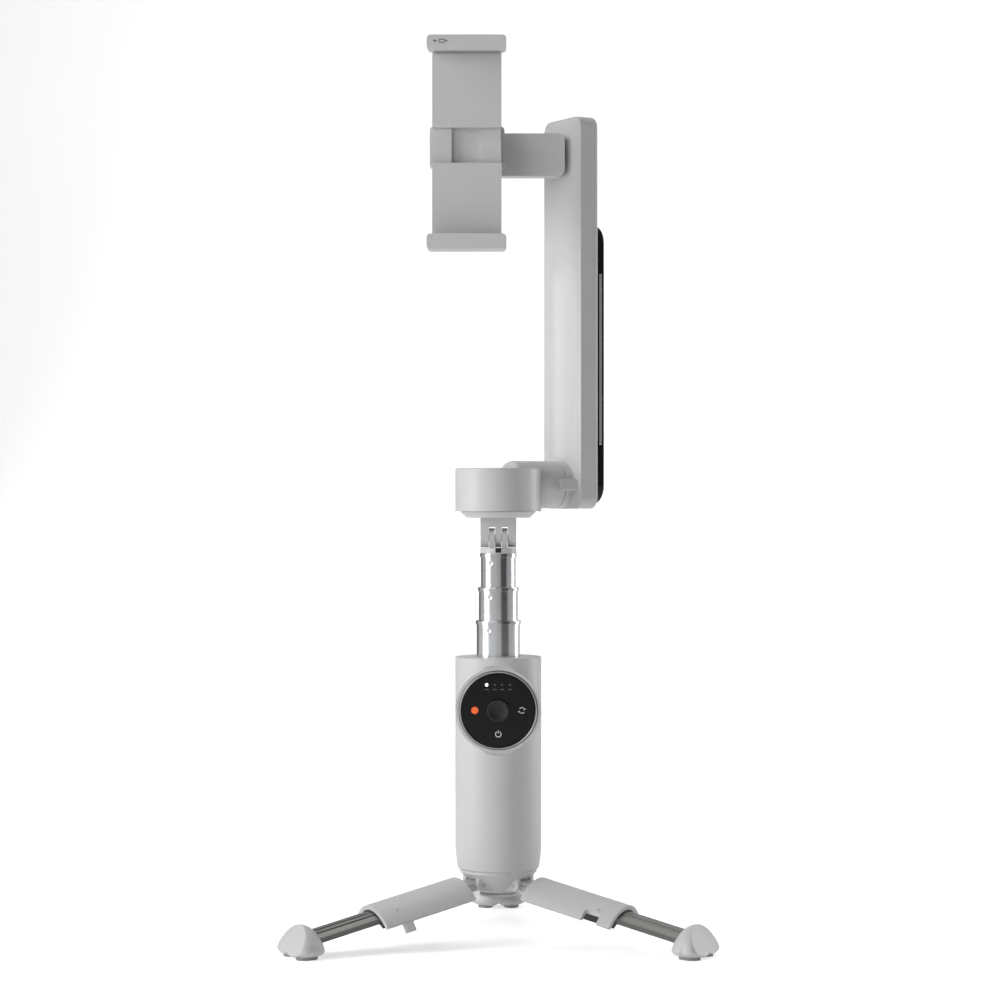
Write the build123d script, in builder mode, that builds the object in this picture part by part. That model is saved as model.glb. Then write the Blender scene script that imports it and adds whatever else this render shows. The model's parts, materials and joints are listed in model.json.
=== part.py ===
"""Folding three-axis phone stabilizer on a telescopic rod and a spread tripod.

Millimetres. The origin is on the handle's axis at the height the feet stand on.
+Z is up, +X is the user's right and -Y is the front, where the control panel is.
"""
import os
from math import cos, degrees, radians, sin, sqrt

from build123d import *

os.makedirs("parts", exist_ok=True)

# ---- clearances ----
RUN_GAP = 0.3        # between faces that move past each other
PIN_GAP = 0.05       # radial, pin in its bore
SEAT_GAP = 0.15      # fingers of a hinge, side to side

# ---- handle ----
HANDLE_R = 18.0
HANDLE_WALL = 2.2
HANDLE_Z0 = 29.6
HANDLE_Z1 = 118.4
HANDLE_FOOT_INSET = 1.8
HANDLE_FOOT_ROUND = (0.9, 0.8)   # out and up
HANDLE_FOOT_R = HANDLE_R - HANDLE_FOOT_INSET
HANDLE_TAPER = 11.0
HANDLE_LIP = 2.5     # thickness of the closed top and bottom
BATTERY_H = 15.5

# ---- control panel, facing -Y ----
PANEL_Z = 97.0
PANEL_SINK = 1.0     # the boss's front lies this far inside the handle's skin
PANEL_Y = -(HANDLE_R - PANEL_SINK)
BOSS_R = HANDLE_R - 0.3
BOSS_SEAT_GAP = 0.8
WHEEL_R = 16.1
WHEEL_WALL = 0.7
PAD_T = 1.6
JOY_R = 4.6
JOY_T = 2.0
JOY_STEM_R = 1.5
JOY_PIVOT_LIFT = 2.4  # joystick's pivot in front of the board's back
JOY_HUB_R = 4.2
JOY_YOKE_WALL = 1.2
JOY_YOKE_T = 1.2
JOY_LIFT = 1.4       # cap above the pad, so that it can tilt
JOY_RIM_W = 1.6
JOY_DISH_DEPTH = 0.5
PAD_PROUD = 0.4      # pad and wheel in front of the boss
WHEEL_PROUD = 0.5
PAD_EDGE_GAP = 0.25
BOARD_EDGE_GAP = 0.2
BOARD_GAP = 0.4
BOARD_T = 0.8
PANEL_PLATE_T = 0.8
PANEL_RING_T = 1.0
PANEL_RING_H = 2.0   # above the plate
PANEL_PIN_R = 0.3    # pivot pins of the pad and the joystick
PANEL_EAR_W = 2.4
PANEL_EAR_WALL = 0.25
ROCKER_T = 0.8
ROCKER_GAP = 0.8     # between the rocker and the pad's back

# ---- trigger on the back ----
TRIGGER_W = 12.0
TRIGGER_H = 21.0
TRIGGER_TOP_Z = 108.0
TRIGGER_PIN_DEPTH = 4.0
TRIGGER_PIN_Y = HANDLE_R - TRIGGER_PIN_DEPTH
TRIGGER_PIN_R = 1.0
TRIGGER_ROUND = 2.0

# ---- charging port on the back ----
PORT_Z = HANDLE_Z0 + 21.8
PORT_W = 9.2
PORT_H = 3.4
PORT_WALL = 0.4
PORT_DEPTH = 7.5

# ---- telescopic rod ----
ROD_WALL = 0.6
ROD_R = (9.1, 8.2, 7.3)            # lower, middle, upper tube
ROD_TOP_Z = (133.5, 147.3, 161.5)
ROD_LENGTH = 65.0
COLLAR_H = 1.6
COLLAR_LIP = 0.45
GUIDE_T = 1.0

# ---- tripod ----
HUB_RING_R = HANDLE_FOOT_R - 0.1
HUB_RING_Z = 28.6
HUB_NOSE_R = 8.0
HUB_NOSE_Z = 20.3
HUB_LIP_Z = 18.6
THREAD_R = 3.175                   # quarter-inch camera thread
THREAD_DEPTH = 5.0
LEG_AZIMUTHS = (-150.0, -30.0, 90.0)
LEG_SLOPE = 12.0
LEG_HINGE_R = 11.0
LEG_HINGE_Z = 24.0
LEG_PIN_R = 1.0
LEG_LUG_R = 2.2
LEG_LUG_W = 8.0
LEG_EAR_W = 2.6
LEG_R = 16.0                       # the three shells close into a tube of this radius
LEG_WALL = 2.0
LEG_HALF_ANGLE = 58.5
LEG_START = 8.0
LEG_END = 50.0
RAIL_R = LEG_R - LEG_WALL - 0.4
RAIL_T = 3.0
RAIL_HALF_ANGLE = 34.0
RAIL_START = 37.5
GUIDE_RAIL_DEPTH = 5.2
GUIDE_RAIL_HALF_ANGLE = 42.0
FOOT_REACH = 91.7
FOOT_LENGTH = 15.4
FOOT_WIDTH = 24.4
FOOT_H = 13.3
FOOT_PAD_T = 1.2

# ---- head pivot between rod and pan motor ----
PIVOT_Z = 167.8
FINGER_X = (-7.5, -4.0, -1.35, 1.35, 4.0, 7.5)
FORK_R = 4.1
KNUCKLE_R = 3.8
PIVOT_PIN_R = 1.5

# ---- pan motor ----
PAN_Z0 = 176.3
PAN_Z1 = 179.0
PAN_Z2 = 197.0
PAN_R = 18.0
PAN_FOOT_R = 13.2
PAN_BASE_R = 15.7
PAN_WALL = 2.0
PAN_SHAFT_R = 2.0

# ---- fold hinge and arm; the arm is yawed about the pan axis ----
ARM_YAW = 29.0
FOLD_Z = 190.15
BARREL_R = 10.0
BARREL_U0 = 4.0
SEAM_U = 27.0
FOLD_PIN_R = 3.0
ARM_U0 = 31.0
ARM_T = 8.6
ARM_W = 31.0
ARM_Z0 = 180.0
ARM_Z1 = 345.0
GROOVE_R = HANDLE_R + 0.2
GROOVE_W = 22.0
GROOVE_Z1 = 287.0
COVER_T = 4.4
COVER_W = 27.0
COVER_Z1 = 300.0
TRIM_W = 2.4
TRIM_Z = (207.0, 279.0)

# ---- head ----
HEAD_X = -12.9
HEAD_Z = 329.2
ROLL_R = 15.0
ROLL_Y = (4.5, 18.0)
ROLL_WALL = 1.6
ROLL_SHAFT_R = 2.5
TILT_Y = -5.5
TILT_R = 6.5
TILT_L = 26.0
TILT_SHAFT_R = 1.5
CRADLE_T = 2.4
MAGNET_T = 1.5
CHEEK_T = 2.2
MAGNET_R = 12.0
CLAMP_T = 4.0
CLAMP_W = 28.0
CLAMP_H = 56.0
JAW_W = 32.5
JAW_T = 5.3
JAW_GAP = 76.5
JAW_LEAF_T = 2.4
JAW_SHELF = 12.0
JAW_RIB_W = 12.0
JAW_RIB_T = 2.0
JAW_LIP_T = 1.5
JAW_LIP_H = 2.6
JAW_PAD_T = 1.0
JAW_LEAF_H = 31.0


def keep(piece, name):
    """Label a finished piece and write it."""
    piece.part.label = name
    export_step(piece.part, f"parts/{name}.step")


def sector(radius, thickness, half_angle, centre_y):
    """A ring sector, symmetric about the sketch's +Y."""
    inner = radius - thickness
    s, c = sin(radians(half_angle)), cos(radians(half_angle))
    with BuildSketch(Plane.XY, mode=Mode.PRIVATE) as ring_sector:
        with BuildLine():
            ThreePointArc((-radius * s, centre_y + radius * c), (0, centre_y + radius),
                          (radius * s, centre_y + radius * c))
            Line((radius * s, centre_y + radius * c), (inner * s, centre_y + inner * c))
            ThreePointArc((inner * s, centre_y + inner * c), (0, centre_y + inner),
                          (-inner * s, centre_y + inner * c))
            Line((-inner * s, centre_y + inner * c), (-radius * s, centre_y + radius * c))
        make_face()
    return ring_sector.sketch


# =============================== handle ===============================
inner_r = HANDLE_R - HANDLE_WALL
rod_hole_r = ROD_R[0] + RUN_GAP
wheel_bore_r = WHEEL_R + RUN_GAP
trigger_z = TRIGGER_TOP_Z - TRIGGER_H / 2
board_y = -(rod_hole_r + GUIDE_T + BOARD_GAP)
joy_pivot_y = board_y - JOY_PIVOT_LIFT
panel_plane = Plane(origin=(0, 0, PANEL_Z), x_dir=(1, 0, 0), z_dir=(0, -1, 0))
foot_corner = (HANDLE_FOOT_R + HANDLE_FOOT_ROUND[0], HANDLE_Z0 + HANDLE_FOOT_ROUND[1])

with BuildPart() as handle_shell:
    with BuildSketch(Plane.XZ):
        with BuildLine():
            Polyline((0, HANDLE_Z0), (HANDLE_FOOT_R, HANDLE_Z0), foot_corner)
            Spline(foot_corner, (HANDLE_R, HANDLE_Z0 + HANDLE_TAPER), tangents=((0.15, 1), (0, 1)))
            Polyline((HANDLE_R, HANDLE_Z0 + HANDLE_TAPER), (HANDLE_R, HANDLE_Z1), (0, HANDLE_Z1),
                     (0, HANDLE_Z0))
        make_face()
    revolve(axis=Axis.Z)
    fillet(handle_shell.edges().group_by(Axis.Z)[-1], 0.6)
    with BuildSketch(panel_plane):
        Circle(BOSS_R)
    extrude(amount=-PANEL_Y)
    with BuildSketch(Plane.XY.offset(HANDLE_Z0 + HANDLE_LIP)):
        Circle(HANDLE_FOOT_R - HANDLE_WALL + 0.4)
    extrude(amount=HANDLE_TAPER - HANDLE_LIP, mode=Mode.SUBTRACT)
    with BuildSketch(Plane.XY.offset(HANDLE_Z0 + HANDLE_TAPER)):
        Circle(inner_r)
    extrude(amount=HANDLE_Z1 - HANDLE_Z0 - HANDLE_TAPER - HANDLE_LIP, mode=Mode.SUBTRACT)
    with BuildSketch(Plane.XY.offset(HANDLE_Z1)):
        Circle(rod_hole_r)
    extrude(amount=-2 * HANDLE_LIP, mode=Mode.SUBTRACT)
    with BuildSketch(panel_plane.offset(-board_y)):
        Circle(wheel_bore_r)
    extrude(amount=HANDLE_R, mode=Mode.SUBTRACT)
    with BuildSketch(panel_plane.offset(-PANEL_Y)):
        Circle(BOSS_R + BOSS_SEAT_GAP)
    extrude(amount=HANDLE_R, mode=Mode.SUBTRACT)
    with BuildSketch(Plane.XZ.offset(-HANDLE_R - 4)):
        with Locations((0, trigger_z)):
            RectangleRounded(TRIGGER_W + 2 * RUN_GAP, TRIGGER_H + 2 * RUN_GAP, TRIGGER_ROUND + RUN_GAP)
    extrude(amount=8, mode=Mode.SUBTRACT)
    with BuildSketch(Plane.XZ.offset(-HANDLE_R - 4)):
        with Locations((0, PORT_Z)):
            SlotOverall(PORT_W + 0.2, PORT_H + 0.2)
    extrude(amount=8, mode=Mode.SUBTRACT)
keep(handle_shell, "handle_shell")

with BuildPart() as battery_pack:
    with BuildSketch(Plane.XY.offset(HANDLE_Z0 + HANDLE_LIP + 0.3)):
        Circle(HANDLE_FOOT_R - HANDLE_WALL - 0.2)
    extrude(amount=BATTERY_H)
keep(battery_pack, "battery_pack")

with BuildPart() as rod_guide:
    with BuildSketch(Plane.XY.offset(PANEL_Z - WHEEL_R)):
        Circle(rod_hole_r + GUIDE_T)
        Circle(rod_hole_r, mode=Mode.SUBTRACT)
    extrude(amount=HANDLE_Z1 - HANDLE_LIP - PANEL_Z + WHEEL_R)
    with BuildSketch(Plane.XY.offset(HANDLE_Z1 - HANDLE_LIP)):
        Circle(inner_r - 1.8)
        Circle(rod_hole_r, mode=Mode.SUBTRACT)
    extrude(amount=-1.4)
    with BuildSketch(Plane.XZ.offset(-inner_r)):
        with Locations((0, trigger_z)):
            Rectangle(TRIGGER_W + 4, TRIGGER_H + 8)
    extrude(amount=inner_r - rod_hole_r - GUIDE_T, mode=Mode.SUBTRACT)
keep(rod_guide, "rod_guide")

port_plane = Plane(origin=(0, inner_r + 1.4, PORT_Z), x_dir=(1, 0, 0), z_dir=(0, -1, 0))
with BuildPart() as usb_port:
    with BuildSketch(port_plane):
        SlotOverall(PORT_W, PORT_H)
        SlotOverall(PORT_W - 2 * PORT_WALL, PORT_H - 2 * PORT_WALL, mode=Mode.SUBTRACT)
    extrude(amount=PORT_DEPTH)
    with BuildSketch(port_plane.offset(PORT_DEPTH)):
        SlotOverall(PORT_W, PORT_H)
    extrude(amount=0.8)
    with BuildSketch(port_plane.offset(PORT_DEPTH)):
        Rectangle(PORT_W - 3, 0.7)
    extrude(amount=-PORT_DEPTH + 1.5)
keep(usb_port, "usb_port")

# ---- panel ----
board_front = -board_y + BOARD_T
with BuildPart() as control_board:
    with BuildSketch(panel_plane.offset(-board_y)):
        Circle(wheel_bore_r - BOARD_EDGE_GAP)
    extrude(amount=BOARD_T)
keep(control_board, "control_board")

pad_front = -PANEL_Y + PAD_PROUD
plate_front = board_front + PANEL_PLATE_T
ring_r = WHEEL_R - WHEEL_WALL - RUN_GAP
ear_reach = PANEL_PIN_R + PIN_GAP + PANEL_EAR_WALL
yoke_ear_r = JOY_R + 1.6
rocker_r = ring_r - PANEL_RING_T - 2 * RUN_GAP
rock_y = -(pad_front - PAD_T - ROCKER_GAP - ROCKER_T / 2)
pad_ear_r = rocker_r + RUN_GAP
with BuildPart() as panel_base:
    with BuildSketch(panel_plane.offset(board_front)):
        Circle(wheel_bore_r - BOARD_EDGE_GAP)
        Circle(yoke_ear_r - 0.1, mode=Mode.SUBTRACT)
    extrude(amount=PANEL_PLATE_T)
    with BuildSketch(panel_plane.offset(board_front)):
        Circle(ring_r)
        Circle(ring_r - PANEL_RING_T, mode=Mode.SUBTRACT)
        Rectangle(2 * PANEL_EAR_W, 2 * WHEEL_R, mode=Mode.SUBTRACT)
    extrude(amount=PANEL_PLATE_T + PANEL_RING_H)
    with BuildSketch(panel_plane.offset(board_front)):
        Circle(ring_r)
        Circle(ring_r - PANEL_RING_T, mode=Mode.SUBTRACT)
        Rectangle(2 * WHEEL_R, PANEL_EAR_W, mode=Mode.INTERSECT)
    extrude(amount=ear_reach - rock_y - board_front)
    with BuildSketch(panel_plane.offset(board_front)):
        with Locations((-yoke_ear_r - PANEL_RING_T / 2, 0), (yoke_ear_r + PANEL_RING_T / 2, 0)):
            Rectangle(PANEL_RING_T, PANEL_EAR_W)
    extrude(amount=ear_reach - joy_pivot_y - board_front)
    with BuildSketch(Plane(origin=(0, rock_y, PANEL_Z), z_dir=(1, 0, 0))):
        Circle(PANEL_PIN_R + PIN_GAP)
    extrude(amount=WHEEL_R, both=True, mode=Mode.SUBTRACT)
    with BuildSketch(Plane(origin=(0, joy_pivot_y, PANEL_Z), z_dir=(1, 0, 0))):
        Circle(PANEL_PIN_R + PIN_GAP)
    extrude(amount=rocker_r - 2, both=True, mode=Mode.SUBTRACT)
keep(panel_base, "panel_base")

wheel_back = plate_front + 0.4
with BuildPart() as zoom_wheel:
    with BuildSketch(panel_plane.offset(wheel_back)):
        Circle(WHEEL_R)
        Circle(WHEEL_R - WHEEL_WALL, mode=Mode.SUBTRACT)
    extrude(amount=-PANEL_Y + WHEEL_PROUD - wheel_back)
    chamfer(zoom_wheel.faces().sort_by(Axis.Y)[0].edges(), 0.2)
keep(zoom_wheel, "zoom_wheel")

with BuildPart() as pad_rocker:
    with BuildSketch(panel_plane.offset(-rock_y - ROCKER_T / 2)):
        Circle(rocker_r)
        Circle(yoke_ear_r, mode=Mode.SUBTRACT)
    extrude(amount=ROCKER_T)
    for pin_way in ((1, 0, 0), (-1, 0, 0)):
        with BuildSketch(Plane(origin=(0, rock_y, PANEL_Z), z_dir=pin_way).offset(rocker_r - 1.2)):
            Circle(PANEL_PIN_R)
        extrude(amount=ring_r - rocker_r + 1.0)
    for pin_way in ((0, 0, 1), (0, 0, -1)):
        with BuildSketch(Plane(origin=(0, rock_y, PANEL_Z), z_dir=pin_way).offset(rocker_r - 1.2)):
            Circle(PANEL_PIN_R)
        extrude(amount=pad_ear_r - rocker_r + PANEL_RING_T + 1.0)
keep(pad_rocker, "pad_rocker")

with BuildPart() as control_pad:
    with BuildSketch(panel_plane.offset(pad_front - PAD_T)):
        Circle(WHEEL_R - WHEEL_WALL - PAD_EDGE_GAP)
        Circle(JOY_STEM_R + 1.5, mode=Mode.SUBTRACT)
    extrude(amount=PAD_T)
    fillet(control_pad.faces().sort_by(Axis.Y)[0].edges(), 0.3)
    with BuildSketch(panel_plane.offset(pad_front - PAD_T / 2)):
        Circle(pad_ear_r + PANEL_RING_T)
        Circle(pad_ear_r, mode=Mode.SUBTRACT)
        Rectangle(PANEL_EAR_W, 2 * WHEEL_R, mode=Mode.INTERSECT)
    extrude(amount=-(pad_front - PAD_T / 2 + rock_y + ear_reach))
    with BuildSketch(Plane(origin=(0, rock_y, PANEL_Z))):
        Circle(PANEL_PIN_R + PIN_GAP)
    extrude(amount=WHEEL_R, both=True, mode=Mode.SUBTRACT)
keep(control_pad, "control_pad")

with BuildPart() as joystick_yoke:
    with BuildSketch(panel_plane.offset(-joy_pivot_y - JOY_YOKE_T / 2)):
        Circle(JOY_HUB_R)
        Circle(JOY_HUB_R - JOY_YOKE_WALL, mode=Mode.SUBTRACT)
    extrude(amount=JOY_YOKE_T)
    for pin_way in ((1, 0, 0), (-1, 0, 0)):
        with BuildSketch(Plane(origin=(0, joy_pivot_y, PANEL_Z), z_dir=pin_way).offset(JOY_HUB_R - 0.5)):
            Circle(PANEL_PIN_R)
        extrude(amount=yoke_ear_r + PANEL_RING_T - JOY_HUB_R + 0.3)
    with BuildSketch(Plane(origin=(0, joy_pivot_y, PANEL_Z))):
        Circle(PANEL_PIN_R + PIN_GAP)
    extrude(amount=JOY_HUB_R + 1, both=True, mode=Mode.SUBTRACT)
keep(joystick_yoke, "joystick_yoke")

with BuildPart() as joystick:
    with BuildSketch(panel_plane.offset(-joy_pivot_y - JOY_YOKE_T / 2)):
        Circle(JOY_STEM_R)
    extrude(amount=pad_front + JOY_LIFT + joy_pivot_y + JOY_YOKE_T / 2)
    with BuildSketch(Plane(origin=(0, joy_pivot_y, PANEL_Z))):
        Circle(PANEL_PIN_R)
    extrude(amount=JOY_HUB_R - 0.2, both=True)
    with BuildSketch(panel_plane.offset(pad_front + JOY_LIFT)):
        Circle(JOY_R)
    extrude(amount=JOY_T)
    fillet(joystick.faces().sort_by(Axis.Y)[0].edges(), 0.8)
    with BuildSketch(panel_plane.offset(pad_front + JOY_LIFT + JOY_T)):
        Circle(JOY_R - JOY_RIM_W)
    extrude(amount=-JOY_DISH_DEPTH, taper=30, mode=Mode.SUBTRACT)
keep(joystick, "joystick")

# ---- trigger ----
trigger_pin_z = TRIGGER_TOP_Z - 3.2
with BuildPart() as trigger:
    with BuildSketch(Plane.YZ):
        with BuildLine():
            Polyline((inner_r - 3.4, TRIGGER_TOP_Z - 1.6), (inner_r - 3.4, TRIGGER_TOP_Z - TRIGGER_H),
                     (HANDLE_R + 0.6, TRIGGER_TOP_Z - TRIGGER_H))
            ThreePointArc((HANDLE_R + 0.6, TRIGGER_TOP_Z - TRIGGER_H),
                          (HANDLE_R + 1.5, TRIGGER_TOP_Z - TRIGGER_H / 2),
                          (HANDLE_R + 0.6, TRIGGER_TOP_Z - 1.0))
            Polyline((HANDLE_R + 0.6, TRIGGER_TOP_Z - 1.0), (inner_r - 1.0, TRIGGER_TOP_Z - 0.4),
                     (inner_r - 3.4, TRIGGER_TOP_Z - 1.6))
        make_face()
    extrude(amount=TRIGGER_W / 2, both=True)
    with BuildSketch(Plane.XZ.offset(-HANDLE_R - 4)):
        with Locations((0, trigger_z)):
            RectangleRounded(TRIGGER_W, TRIGGER_H, TRIGGER_ROUND)
    extrude(amount=HANDLE_R, mode=Mode.INTERSECT)
    with BuildSketch(Plane.YZ):
        with Locations((TRIGGER_PIN_Y, trigger_pin_z)):
            Circle(TRIGGER_PIN_R + PIN_GAP)
    extrude(amount=TRIGGER_W, both=True, mode=Mode.SUBTRACT)
keep(trigger, "trigger")

with BuildPart() as trigger_pin:
    with BuildSketch(Plane.YZ):
        with Locations((TRIGGER_PIN_Y, trigger_pin_z)):
            Circle(TRIGGER_PIN_R)
    extrude(amount=TRIGGER_W / 2 + 1.2, both=True)
    with BuildSketch(Plane.XY.offset(trigger_pin_z - 2 * TRIGGER_PIN_R)):
        Circle(inner_r)
    extrude(amount=4 * TRIGGER_PIN_R, mode=Mode.INTERSECT)
keep(trigger_pin, "trigger_pin")

# =============================== rod ===============================
rod_names = ("rod_lower", "rod_middle", "rod_upper")
for tube_name, tube_r, tube_top in zip(rod_names, ROD_R, ROD_TOP_Z):
    with BuildPart() as rod_tube:
        with BuildSketch(Plane.XY.offset(tube_top - ROD_LENGTH)):
            Circle(tube_r)
        extrude(amount=ROD_LENGTH)
        with BuildSketch(Plane.XY.offset(tube_top - COLLAR_H)):
            Circle(tube_r + COLLAR_LIP)
        extrude(amount=COLLAR_H)
        fillet(rod_tube.faces().sort_by(Axis.Z)[-1].edges(), 0.4)
        with BuildSketch(Plane.XY.offset(tube_top - ROD_LENGTH)):
            Circle(tube_r - ROD_WALL)
        extrude(amount=ROD_LENGTH, mode=Mode.SUBTRACT)
    keep(rod_tube, tube_name)

fork_z0 = ROD_TOP_Z[2]
with BuildPart() as rod_fork:
    with BuildSketch(Plane.XY.offset(fork_z0 - 6)):
        Circle(ROD_R[2] - ROD_WALL)
    extrude(amount=6)
    with BuildSketch(Plane.XY.offset(fork_z0)):
        Circle(ROD_R[2] + 0.2)
    extrude(amount=PIVOT_Z - KNUCKLE_R - RUN_GAP - fork_z0)
    for low, high in ((FINGER_X[1], FINGER_X[2]), (FINGER_X[3], FINGER_X[4])):
        with BuildSketch(Plane.YZ.offset(low + SEAT_GAP)):
            with Locations((0, PIVOT_Z)):
                Circle(FORK_R)
            with Locations((0, (fork_z0 + PIVOT_Z) / 2)):
                Rectangle(2 * FORK_R, PIVOT_Z - fork_z0)
        extrude(amount=high - low - 2 * SEAT_GAP)
    with BuildSketch(Plane.YZ.offset(FINGER_X[1])):
        with Locations((0, PIVOT_Z)):
            Circle(PIVOT_PIN_R)
    extrude(amount=FINGER_X[4] - FINGER_X[1], mode=Mode.SUBTRACT)
keep(rod_fork, "rod_fork")

with BuildPart() as pivot_pin:
    with BuildSketch(Plane.YZ.offset(FINGER_X[0] + 0.4)):
        with Locations((0, PIVOT_Z)):
            Circle(PIVOT_PIN_R)
    extrude(amount=FINGER_X[5] - FINGER_X[0] - 0.8)
keep(pivot_pin, "pivot_pin")

with BuildPart() as tilt_knuckle:
    for low, high in ((FINGER_X[0], FINGER_X[1]), (FINGER_X[2], FINGER_X[3]),
                      (FINGER_X[4], FINGER_X[5])):
        with BuildSketch(Plane.YZ.offset(low)):
            with Locations((0, PIVOT_Z)):
                Circle(KNUCKLE_R)
            with Locations((0, (PAN_Z0 + PIVOT_Z) / 2)):
                Rectangle(2 * KNUCKLE_R, PAN_Z0 - PIVOT_Z)
        extrude(amount=high - low)
    with BuildSketch(Plane.XY.offset(PIVOT_Z + FORK_R + 0.5)):
        Rectangle(FINGER_X[5] - FINGER_X[0], 2 * KNUCKLE_R)
    extrude(amount=PAN_Z0 - PIVOT_Z - FORK_R - 0.5)
    with BuildSketch(Plane.YZ.offset(FINGER_X[0])):
        with Locations((0, PIVOT_Z)):
            Circle(PIVOT_PIN_R + PIN_GAP)
    extrude(amount=FINGER_X[5] - FINGER_X[0], mode=Mode.SUBTRACT)
keep(tilt_knuckle, "tilt_knuckle")

# =============================== tripod ===============================
slope_c, slope_s = cos(radians(LEG_SLOPE)), sin(radians(LEG_SLOPE))


def outward(azimuth):
    return Vector(cos(radians(azimuth)), sin(radians(azimuth)), 0)


def across(azimuth):
    return Vector(-sin(radians(azimuth)), cos(radians(azimuth)), 0)


def hinge_point(azimuth):
    return outward(azimuth) * LEG_HINGE_R + Vector(0, 0, LEG_HINGE_Z)


def leg_section(azimuth, reach):
    """Plane square to the leg, its +X across and its +Y up out of the leg."""
    along = outward(azimuth) * slope_c - Vector(0, 0, slope_s)
    return Plane(origin=hinge_point(azimuth) + along * reach, x_dir=across(azimuth), z_dir=along)


def hinge_section(azimuth, offset):
    """Upright plane through the leg, offset along the hinge pin, +X outwards and +Y up."""
    return Plane(origin=hinge_point(azimuth) + across(azimuth) * offset, x_dir=outward(azimuth),
                 z_dir=-across(azimuth))


ear_in = LEG_LUG_W / 2 + SEAT_GAP
ear_out = ear_in + LEG_EAR_W
pocket_top = LEG_HINGE_Z + LEG_LUG_R + 0.3
with BuildPart() as tripod_hub:
    with BuildSketch(Plane.XZ):
        with BuildLine():
            Polyline((0, HUB_LIP_Z), (HUB_NOSE_R - 0.3, HUB_LIP_Z), (HUB_NOSE_R - 0.3, HUB_LIP_Z + 0.9),
                     (HUB_NOSE_R - 1.2, HUB_LIP_Z + 0.9), (HUB_NOSE_R - 1.2, HUB_NOSE_Z),
                     (HUB_NOSE_R, HUB_NOSE_Z), (HUB_RING_R, HUB_RING_Z),
                     (HUB_RING_R, HANDLE_Z0), (0, HANDLE_Z0), (0, HUB_LIP_Z))
        make_face()
    revolve(axis=Axis.Z)
    for leg_azimuth in LEG_AZIMUTHS:
        for side in (ear_out, -ear_in):
            with BuildSketch(hinge_section(leg_azimuth, side)):
                Circle(LEG_LUG_R + 0.2)
                with Locations((-2.5, -0.3)):
                    Rectangle(5, 2 * LEG_LUG_R - 0.4)
                with Locations((0, (HUB_RING_Z - LEG_HINGE_Z) / 2)):
                    Rectangle(2 * LEG_LUG_R, HUB_RING_Z - LEG_HINGE_Z)
            extrude(amount=LEG_EAR_W)
        with BuildSketch(hinge_section(leg_azimuth, ear_in)):
            with Locations((1.2, (pocket_top + HUB_NOSE_Z) / 2 - LEG_HINGE_Z - 1.3)):
                Rectangle(7.6, pocket_top - HUB_NOSE_Z + 2.6)
        extrude(amount=2 * ear_in, mode=Mode.SUBTRACT)
        with BuildSketch(hinge_section(leg_azimuth, ear_out)):
            Circle(LEG_PIN_R)
        extrude(amount=2 * ear_out, mode=Mode.SUBTRACT)
    with BuildSketch(Plane.XY.offset(HUB_LIP_Z)):
        Circle(THREAD_R)
    extrude(amount=THREAD_DEPTH, mode=Mode.SUBTRACT)
keep(tripod_hub, "tripod_hub")

with BuildPart() as leg_pins:
    for leg_azimuth in LEG_AZIMUTHS:
        with BuildSketch(hinge_section(leg_azimuth, ear_out)):
            Circle(LEG_PIN_R)
        extrude(amount=2 * ear_out)
keep(leg_pins, "leg_pins")

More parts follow.
